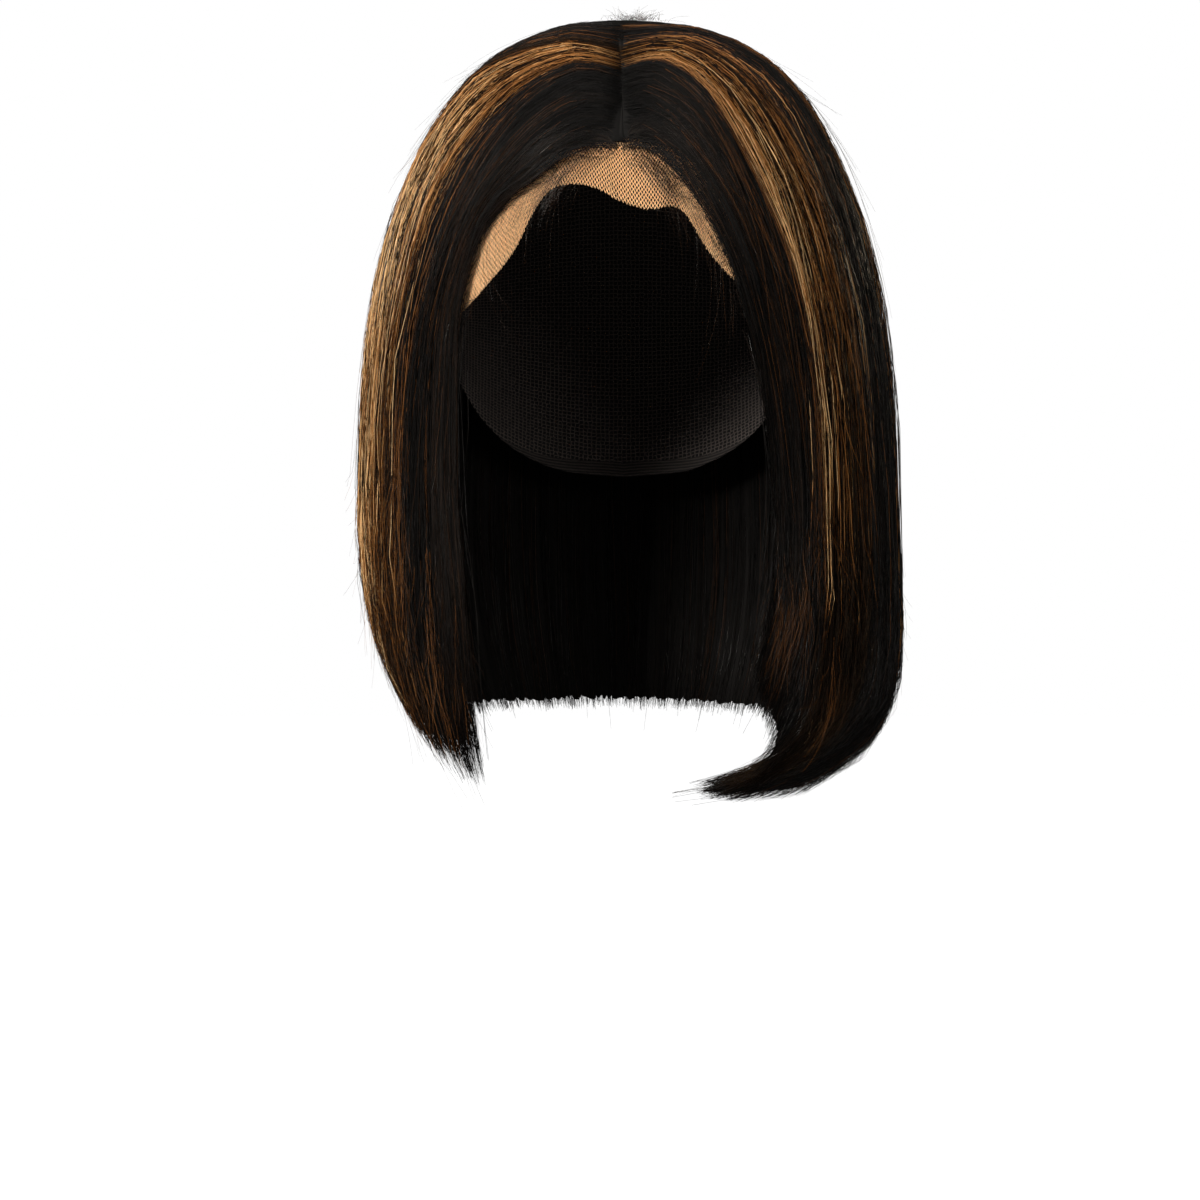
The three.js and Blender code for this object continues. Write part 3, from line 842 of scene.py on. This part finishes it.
# Cores: columns to a lane, how short of the strands they end, how they overlap and draw back
# from the front edges, how deep their faces lie, how thin they are at their ends and their tone
CORE_COLUMNS = 30
CORE_ROWS = (16, 11)
CORE_SHORT = (0.002, 0.011)
CORE_OVERLAP = 0.006
CORE_EDGE = 0.06
CORE_RETREAT = 0.5
CORE_SUNK, CORE_SUNK_AT_PART = 3.2, 2.0
CORE_SUNK_MOST = 0.65
CORE_FLOOR = 0.78
CORE_LEAST = 0.5
CORE_THINNED = 0.85
CORE_CLEARANCE = (0.9, 0.4)
CORE_TONE, CORE_LIGHT, CORE_SPREAD = 0.03, 0.25, 0.05
PART_OVERLAP = 2.2


def lock_core(rng, lock):
    """The close-packed inside of a lock, under its strands; it closes under the part."""
    first_lane, last_lane = lock[3:5]
    first_lane += CORE_EDGE if first_lane == 0 else -CORE_OVERLAP
    last_lane -= CORE_EDGE if last_lane == SECTIONS[-1] else -CORE_OVERLAP
    columns = int((last_lane - first_lane) * CORE_COLUMNS) + 3
    lane = np.linspace(first_lane, last_lane, columns)[:, None]
    end, ragged = rows_at(CUT, lane)
    end = end - ragged - rng.uniform(*CORE_SHORT, columns)[:, None]
    upper, lower = np.linspace(0, 0.5, CORE_ROWS[0]), np.linspace(0.5, 1, CORE_ROWS[1])
    rows = np.concatenate([upper[:-1], lower])[None, :]
    way = end * rows
    from_edge = np.minimum(lane, SECTIONS[-1] - lane) - CORE_EDGE
    retreat = (EDGE_REACH - CORE_EDGE) * np.clip(1 - from_edge / CORE_RETREAT, 0, 1)
    lane = lane + retreat * np.sign(SECTIONS[-1] / 2 - lane) * ease(0.04, 0.2, way)
    section = run_in(lane, way)
    out = hair_frame(section, way)[1]
    depth = hair_depth(section, way)
    sunk = CORE_SUNK + lies_closer(section, way) + CORE_SUNK_AT_PART * (1 - ease(0.03, 0.12, way))
    sunk = np.minimum(sunk, CORE_SUNK_MOST * depth)
    floor = np.maximum(CORE_FLOOR * depth, sunk + CORE_LEAST)
    middle = (sunk + floor) / 2
    thinned = CORE_THINNED * ease(0.9, 1, rows)
    sunk = sunk + (middle - sunk) * thinned
    floor = floor + (middle - floor) * thinned
    face = hair_face(section, way)
    face[..., 0] -= hair_side(section) * PART_OVERLAP * (1 - ease(0, 0.03, way))
    outer, inner = (
        swept(hold_off_head(face - out * sink[..., None], CAP_WALL + clearance), lane, way)
        for sink, clearance in zip((sunk, floor), CORE_CLEARANCE)
    )
    # Under the caramel the cores are darker than the strands over them: partly the darker hair beneath
    # the highlights, partly a painted shade between the strands
    tone = CORE_TONE + CORE_LIGHT * row_at(CARAMEL, lane) * (1 - ease(0.45, 0.7, way))
    tone = tone + CORE_SPREAD * rng.random(columns)[:, None]
    return wall(outer, inner, tone, DULL[0] + np.ptp(DULL) * way)


def finish_nodes(material):
    tree = material.node_tree
    return tree.nodes, tree.links, tree.nodes["Principled BSDF"]


def ranged(nodes, links, value, start, end, low=0, high=1):
    """Maps a value's run from start to end on to one from low to high."""
    run = nodes.new("ShaderNodeMapRange")
    limits = {"From Min": start, "From Max": end, "To Min": low, "To Max": high}
    for name, limit in limits.items():
        run.inputs[name].default_value = limit
    links.new(value, run.inputs["Value"])
    return run


def colour_mix(nodes, blend="MIX"):
    mix = nodes.new("ShaderNodeMix")
    mix.data_type = "RGBA"
    mix.blend_type = blend
    return mix


def plain_finish(name, colour, roughness, specular=0.5):
    material = bpy.data.materials.new(name)
    material.use_nodes = True
    shader = material.node_tree.nodes["Principled BSDF"]
    shader.inputs["Base Color"].default_value = (*colour, 1)
    shader.inputs["Roughness"].default_value = roughness
    shader.inputs["Specular IOR Level"].default_value = specular
    return material


HAIR_SPECULAR = 0.28
# Gloss differs from strand to strand: how often, over which part of the noise, and how much
GLOSS_TURNS = 60
GLOSS_NOISE = (0.3, 0.7)
GLOSS_SPREAD = 0.1
ROOT_PAINTED_SHADE = 0.35
ROOT_ROUGH = 0.95


def hair_finish(name, roughness, sheen):
    """Straight hair: the tone runs across the strand map; roots are duller and painted darker as shade
    near the part, as are, less so, the cores and lining strands inside the hair.
    """
    material = plain_finish(name, HAIR_TONES[0][1], roughness, HAIR_SPECULAR)
    nodes, links, shader = finish_nodes(material)
    shader.inputs["Specular Tint"].default_value = (*sheen, 1)
    place = nodes.new("ShaderNodeUVMap")
    place.uv_map = STRAND_MAP
    parts = nodes.new("ShaderNodeSeparateXYZ")
    links.new(place.outputs["UV"], parts.inputs["Vector"])
    across, along = parts.outputs["X"], parts.outputs["Y"]
    tones = nodes.new("ShaderNodeValToRGB")
    for position, colour in HAIR_TONES:
        stop = tones.color_ramp.elements.new(position)
        stop.color = (*colour, 1)
    for end in (0, -1):
        tones.color_ramp.elements.remove(tones.color_ramp.elements[end])
    links.new(across, tones.inputs["Fac"])
    # Painted shade: the base colour darkens towards the hair's roots at the part, and a little over the
    # cores and lining strands inside the hair
    root = ranged(nodes, links, along, *SHADED_ROOT_PLACES, low=ROOT_PAINTED_SHADE)
    shaded = colour_mix(nodes, "MULTIPLY")
    shaded.inputs["Factor"].default_value = 1
    links.new(tones.outputs["Color"], shaded.inputs["A"])
    links.new(root.outputs["Result"], shaded.inputs["B"])
    links.new(shaded.outputs["Result"], shader.inputs["Base Color"])
    unlike = nodes.new("ShaderNodeTexNoise")
    unlike.noise_dimensions = "1D"
    unlike.inputs["Scale"].default_value = GLOSS_TURNS
    unlike.inputs["Detail"].default_value = 0
    links.new(across, unlike.inputs["W"])
    glossiest, dullest = roughness - GLOSS_SPREAD, roughness + GLOSS_SPREAD
    gloss = ranged(nodes, links, unlike.outputs["Fac"], *GLOSS_NOISE, glossiest, dullest)
    dulled = ranged(nodes, links, along, *DULL_ROOTS, low=ROOT_ROUGH)
    links.new(gloss.outputs["Result"], dulled.inputs["To Max"])
    links.new(dulled.outputs["Result"], shader.inputs["Roughness"])
    return material


# Hair tones from black through brown, copper and caramel to golden
HAIR_TONES = [
    (0.001, (0.0030, 0.0027, 0.0026)),
    (0.15, (0.0070, 0.0052, 0.0042)),
    (0.3, (0.0220, 0.0115, 0.0065)),
    (0.45, (0.0700, 0.0290, 0.0110)),
    (0.6, (0.2100, 0.0740, 0.0170)),
    (0.75, (0.3800, 0.1550, 0.0420)),
    (0.9, (0.6600, 0.3300, 0.1150)),
    (0.999, (0.9500, 0.6000, 0.2800)),
]


def fit(piece, node):
    """Stands a piece in for its node."""
    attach(piece, "root")
    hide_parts(node)


# Loose hairs of every lock, and more by piece: how many, lanes, where on the way they start,
# lengths and tones
LOOSE_ALL_OVER = (100, (0.02, 0.86), (0.05, 0.16), (0.12, 0.37))
LOOSE_HAIRS = {
    "front_hair_right": [
        (50, (1.2, 1.5), (0.34, 0.62), (0.07, 0.2), (0.35, 0.6)),
        (70, (0.2, 1.5), (0.58, 0.82), (0.1, 0.18), (0.42, 0.68)),
        (50, (0.15, 1.2), (0.03, 0.4), (0.1, 0.3), (0.3, 0.6)),
    ],
    "highlight_hair_right": [
        (120, (1.5, 2.7), (0.36, 0.66), (0.07, 0.2), (0.2, 0.55)),
        (60, (1.5, 2.6), (0.66, 0.88), (0.08, 0.16), (0.1, 0.4)),
    ],
    "front_hair_left": [
        (90, (13.3, 13.9), (0.5, 0.64), (0.18, 0.34), (0.42, 0.62)),
        (50, (13.0, 13.3), (0.3, 0.55), (0.07, 0.2), (0.3, 0.5)),
        (60, (13.1, 13.9), (0.03, 0.3), (0.1, 0.3), (0.3, 0.6)),
    ],
    "highlight_hair_left": [(90, (12.2, 13.0), (0.12, 0.5), (0.06, 0.18), (0.3, 0.62))],
}


# Hairs at the hairlines, by the piece's name: how many are knotted in, and the baby hairs' number,
# where on the way they root and their reach
KNOTTED_HAIRS = 380
BABY_HAIRS = {
    "front_hair_right": [(80, (0.0, 0.36), 5), (80, (0.0, 0.13), 6)],
    "front_hair_left": [(90, (0.0, 0.3), 4), (110, (0.0, 0.12), 7)],
}
TUFT_HAIRS = 210
HAIR_SEED = 100

# Finishes by slot: name, roughness, tint of the sheen
FINISHES = {
    "hair_dark": ("dark_hair", 0.27, (1, 0.97, 0.9)),
    "hair_highlight": ("highlighted_hair", 0.3, (1, 0.6, 0.3)),
}


def make_hair():
    finishes = {slot: hair_finish(*looks) for slot, looks in FINISHES.items()}
    for number, lock in enumerate(LOCKS):
        node, name, slot, first_lane, last_lane = lock[:5]
        rng = np.random.default_rng(HAIR_SEED + number)
        shapes = [lock_core(rng, lock)]
        shapes += [lay_strands(rng, lock, layer) for layer in LAYERS]
        count, *looks = LOOSE_ALL_OVER
        shapes.append(lay_loose_hairs(rng, count, (first_lane, last_lane), *looks))
        for count, *looks in LOOSE_HAIRS.get(name, []):
            shapes.append(lay_loose_hairs(rng, count, *looks))
        if name in BABY_HAIRS:
            edge, inward = (0, 1) if first_lane == 0 else (SECTIONS[-1], -1)
            shapes.append(lay_hairline(rng, edge, inward, KNOTTED_HAIRS))
            for count, ways, reach in BABY_HAIRS[name]:
                shapes.append(lay_baby_hairs(rng, edge, inward, count, ways, reach))
        if name == "front_hair_left":
            shapes.append(lay_stray_hair())
        if name == "side_hair_left":
            shapes.append(lay_crown_tuft(rng, TUFT_HAIRS))
        piece = make_piece(name, shapes, finishes[slot])
        fit(piece, node)


# Lace: threads from one another, a full turn of a thread's zigzag and a thread's radius
LACE_PITCH = 0.62
LACE_PERIOD = 2.1
LACE_THREAD = 0.208


# Threads pair with a little overlap, cross over and under, and run on up under the cap's edge
LACE_TOUCH = 0.8
LACE_CROSS = 0.06
LACE_UNDER_CAP = 0.8
LACE_CUT = 0.4
LACE_HEIGHT = 90
LACE_COLOURS = (0.95, 0.52, 0.24, 1), (1.0, 0.64, 0.33, 1)
LACE_PATCH = 6
LACE_LEVELS = 60
LACE_SEED = 7


def lace_finish():
    """Sheer flesh-brown lace, a little uneven from thread to thread."""
    material = plain_finish("lace_net", LACE_COLOURS[0][:3], 0.7, 0.25)
    nodes, links, shader = finish_nodes(material)
    place = nodes.new("ShaderNodeTexCoord")
    unevenness = nodes.new("ShaderNodeTexNoise")
    unevenness.inputs["Scale"].default_value = 1 / (LACE_PATCH * MM)
    unevenness.inputs["Detail"].default_value = 3
    links.new(place.outputs["Object"], unevenness.inputs["Vector"])
    shade = colour_mix(nodes)
    for side, colour in zip("AB", LACE_COLOURS):
        shade.inputs[side].default_value = colour
    links.new(unevenness.outputs["Fac"], shade.inputs["Factor"])
    links.new(shade.outputs["Result"], shader.inputs["Base Color"])
    return material


def make_lace():
    """Hexagonal net: each thread runs up the band and pairs with its neighbours by turns."""
    rng = np.random.default_rng(LACE_SEED)
    first, last = LACE_EDGE[0, 0] + 0.5, LACE_EDGE[-1, 0] - 0.5
    fine = np.linspace(first, last, 400)
    middle = head_point(fine, (lace_edge(fine) + cap_edge(fine)) / 2, LACE_WALL)
    run = np.concatenate([[0], np.cumsum(np.linalg.norm(np.diff(middle[:, :2], axis=0), axis=1))])
    threads = int(run[-1] / LACE_PITCH)
    angles = np.interp(np.arange(threads) * LACE_PITCH, run, fine)
    shapes = []
    for number, angle in enumerate(angles):
        low = lace_edge(angle) + rng.uniform(0, LACE_CUT)
        high = cap_edge(angle) - LACE_UNDER_CAP
        levels = np.linspace(low, high, LACE_LEVELS)
        spine = head_point(angle, levels, LACE_WALL / 2)
        climb = np.concatenate([[0], np.cumsum(np.linalg.norm(np.diff(spine, axis=0), axis=1))])
        knots = np.arange(0, climb[-1], LACE_PERIOD / 4)
        level = np.interp(knots, climb, levels)
        step = np.arange(len(knots)) % 4
        way = np.where(step < 2, 1, -1) * (1 if number % 2 else -1)
        sideways = way * (LACE_PITCH / 2 - LACE_TOUCH * LACE_THREAD)
        span = head_point(angle + 0.5, level, 0) - head_point(angle - 0.5, level, 0)
        turn = angle + sideways / np.linalg.norm(span, axis=-1)
        route = head_point(turn, level, LACE_WALL / 2 + LACE_CROSS * way)[None]
        out = unit(route - HEAD_MIDDLE)
        radius = np.full(route.shape[:2], LACE_THREAD)
        tone = np.full(route.shape[:2], 0.02 + 0.96 * number / threads)
        along = (0.02 + 0.96 * (level - LACE_EDGE[:, 1].min()) / LACE_HEIGHT)[None]
        shapes.append(tubes(route, out, radius, np.zeros(1), tone, along))
    piece = make_piece("lace_band", shapes, lace_finish())
    fit(piece, "lace_front")


# Cap net, in millimetres: hem, pitch of its ribs and of the net; and the net's threads and relief
HEM_WIDTH = 7
HEM_EDGE = 0.6
HEM_RIB = 0.6
NET_PITCH = 1.7
NET_THREAD = (0.08, 0.2)
NET_RELIEF = 0.4
NET_COLOURS = (0.012, 0.010, 0.009, 1), (0.13, 0.105, 0.09, 1)


def cap_finish():
    """Black stretch net with an elastic hem along its lower edge."""
    material = plain_finish("cap_stretch_net", (0.02, 0.018, 0.017), 0.8, 0.3)
    nodes, links, shader = finish_nodes(material)
    place = nodes.new("ShaderNodeAttribute")
    place.attribute_name = "place_on_net"
    net = nodes.new("ShaderNodeTexVoronoi")
    net.voronoi_dimensions = "2D"
    net.feature = "DISTANCE_TO_EDGE"
    net.inputs["Scale"].default_value = 1 / NET_PITCH
    net.inputs["Randomness"].default_value = 0.3
    links.new(place.outputs["Vector"], net.inputs["Vector"])
    thread = ranged(nodes, links, net.outputs["Distance"], *NET_THREAD, low=1, high=0)
    height = nodes.new("ShaderNodeAttribute")
    height.attribute_name = "height_over_hem"
    hem = ranged(nodes, links, height.outputs["Fac"], HEM_WIDTH, HEM_WIDTH + HEM_EDGE, low=1, high=0)
    ribs = nodes.new("ShaderNodeMath")
    ribs.operation = "PINGPONG"
    ribs.inputs[1].default_value = HEM_RIB
    links.new(height.outputs["Fac"], ribs.inputs[0])
    relief = nodes.new("ShaderNodeMix")
    links.new(hem.outputs["Result"], relief.inputs["Factor"])
    links.new(thread.outputs["Result"], relief.inputs["A"])
    links.new(ribs.outputs["Value"], relief.inputs["B"])
    shade = colour_mix(nodes)
    for side, colour in zip("AB", NET_COLOURS):
        shade.inputs[side].default_value = colour
    links.new(relief.outputs["Result"], shade.inputs["Factor"])
    links.new(shade.outputs["Result"], shader.inputs["Base Color"])
    bump = nodes.new("ShaderNodeBump")
    bump.inputs["Strength"].default_value = 0.6
    bump.inputs["Distance"].default_value = NET_RELIEF * MM
    links.new(relief.outputs["Result"], bump.inputs["Height"])
    links.new(bump.outputs["Normal"], shader.inputs["Normal"])
    return material


def make_cap():
    bpy.ops.object.select_all(action="DESELECT")
    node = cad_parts["cap"]
    piece = bpy.data.objects.new("cap_net", node.data.copy())
    bpy.context.scene.collection.objects.link(piece)
    bpy.context.view_layer.objects.active = piece
    piece.select_set(True)
    bpy.ops.object.mode_set(mode="EDIT")
    bpy.ops.mesh.select_all(action="SELECT")
    bpy.ops.mesh.remove_doubles(threshold=1e-6)
    bpy.ops.mesh.tris_convert_to_quads()
    bpy.ops.object.mode_set(mode="OBJECT")
    bpy.ops.object.shade_smooth()
    smooth = piece.modifiers.new("smooth", "SUBSURF")
    smooth.levels = smooth.render_levels = 2
    bpy.ops.object.modifier_apply(modifier=smooth.name)
    points = np.zeros(len(piece.data.vertices) * 3, np.float32)
    piece.data.vertices.foreach_get("co", points)
    x, y, z = points.reshape(-1, 3).T / MM
    over_hem = z - cap_edge(np.degrees(np.arctan2(x, -y)))
    height = piece.data.attributes.new("height_over_hem", "FLOAT", "POINT")
    height.data.foreach_set("value", over_hem.astype(np.float32))
    # The net runs from ear to ear, over the head and down to the nape
    back = np.arctan2(y, z - WIDEST_LEVEL) * HALF_BACK
    across = np.arcsin(np.clip(x / (HALF_WIDTH + CAP_WALL + 1), -1, 1)) * HALF_WIDTH
    on_net = np.stack([across, back, np.zeros_like(x)], -1)
    net = piece.data.attributes.new("place_on_net", "FLOAT_VECTOR", "POINT")
    net.data.foreach_set("vector", on_net.astype(np.float32).ravel())
    piece.data.materials.clear()
    piece.data.materials.append(cap_finish())
    fit(piece, "cap")


FLOOR_LEVEL = -0.46
FLOOR_RADIUS = 8
FLOOR_GLOW = 0.95


def make_floor():
    bpy.ops.object.select_all(action="DESELECT")
    bpy.ops.mesh.primitive_circle_add(
        vertices=96, radius=FLOOR_RADIUS, fill_type="NGON", location=(0, 0, FLOOR_LEVEL)
    )
    floor = bpy.context.object
    floor.name = "floor"
    bpy.ops.object.transform_apply(location=True, rotation=True, scale=True)
    finish = plain_finish("pale_floor", (0.8, 0.8, 0.8), 0.9)
    shader = finish.node_tree.nodes["Principled BSDF"]
    shader.inputs["Emission Color"].default_value = (1, 1, 1, 1)
    shader.inputs["Emission Strength"].default_value = FLOOR_GLOW
    floor.data.materials.append(finish)
    floor.visible_diffuse = False
    floor.visible_glossy = False


ROOM_LIGHT = 0.12
LIT_PLACE = (0, 0, -0.12)
# Lamps: name, place, size, power and colour
LAMPS = [
    ("key", (-1.0, -1.6, 0.75), 0.7, 53, (1, 1, 1)),
    ("fill", (0.8, -1.9, 0.5), 0.9, 8, (1, 1, 1)),
    ("crown", (0.1, 0.3, 1.4), 0.8, 5, (1, 0.95, 0.88)),
    ("back_right", (-1.1, 1.5, 0.5), 0.8, 14, (1, 0.92, 0.8)),
    ("back_left", (1.2, 1.5, 0.5), 0.8, 11, (1, 0.82, 0.58)),
    ("behind", (-0.3, 2.0, 0.7), 0.9, 30, (1, 0.97, 0.92)),
]


def add_light(name, place, size, power, colour):
    bpy.ops.object.light_add(type="AREA", location=place)
    light = bpy.context.object
    light.name = name
    light.data.shape = "DISK"
    light.data.size = size
    light.data.energy = power
    light.data.color = colour
    aim = light.location.copy()
    aim.x, aim.y, aim.z = (t - p for t, p in zip(LIT_PLACE, place))
    light.rotation_euler = aim.to_track_quat("-Z", "Y").to_euler()


def light_studio():
    """Soft lamps in a white room that itself gives only part of the light."""
    world = bpy.data.worlds.new("studio")
    world.use_nodes = True
    nodes, links = world.node_tree.nodes, world.node_tree.links
    room = nodes["Background"]
    room.inputs["Strength"].default_value = ROOM_LIGHT
    room.inputs["Color"].default_value = (1, 1, 1, 1)
    white = nodes.new("ShaderNodeBackground")
    white.inputs["Color"].default_value = (1, 1, 1, 1)
    white.inputs["Strength"].default_value = 1.0
    seen = nodes.new("ShaderNodeLightPath")
    backdrop = nodes.new("ShaderNodeMixShader")
    links.new(seen.outputs["Is Camera Ray"], backdrop.inputs["Fac"])
    links.new(room.outputs["Background"], backdrop.inputs[1])
    links.new(white.outputs["Background"], backdrop.inputs[2])
    links.new(backdrop.outputs["Shader"], nodes["World Output"].inputs["Surface"])
    bpy.context.scene.world = world
    for lamp in LAMPS:
        add_light(*lamp)


CAMERA_PLACE = (-0.0096, -1.8, -0.216)
CAMERA_LENS = 140.3


def place_camera():
    data = bpy.data.cameras.new("camera")
    data.sensor_width = 36
    data.lens = CAMERA_LENS
    camera = bpy.data.objects.new("camera", data)
    camera.location = CAMERA_PLACE
    camera.rotation_euler = (math.pi / 2, 0, 0)
    bpy.context.scene.collection.objects.link(camera)
    bpy.context.scene.camera = camera


make_hair()
make_lace()
make_cap()
make_floor()
light_studio()
place_camera()
bpy.context.scene.view_settings.view_transform = "Standard"
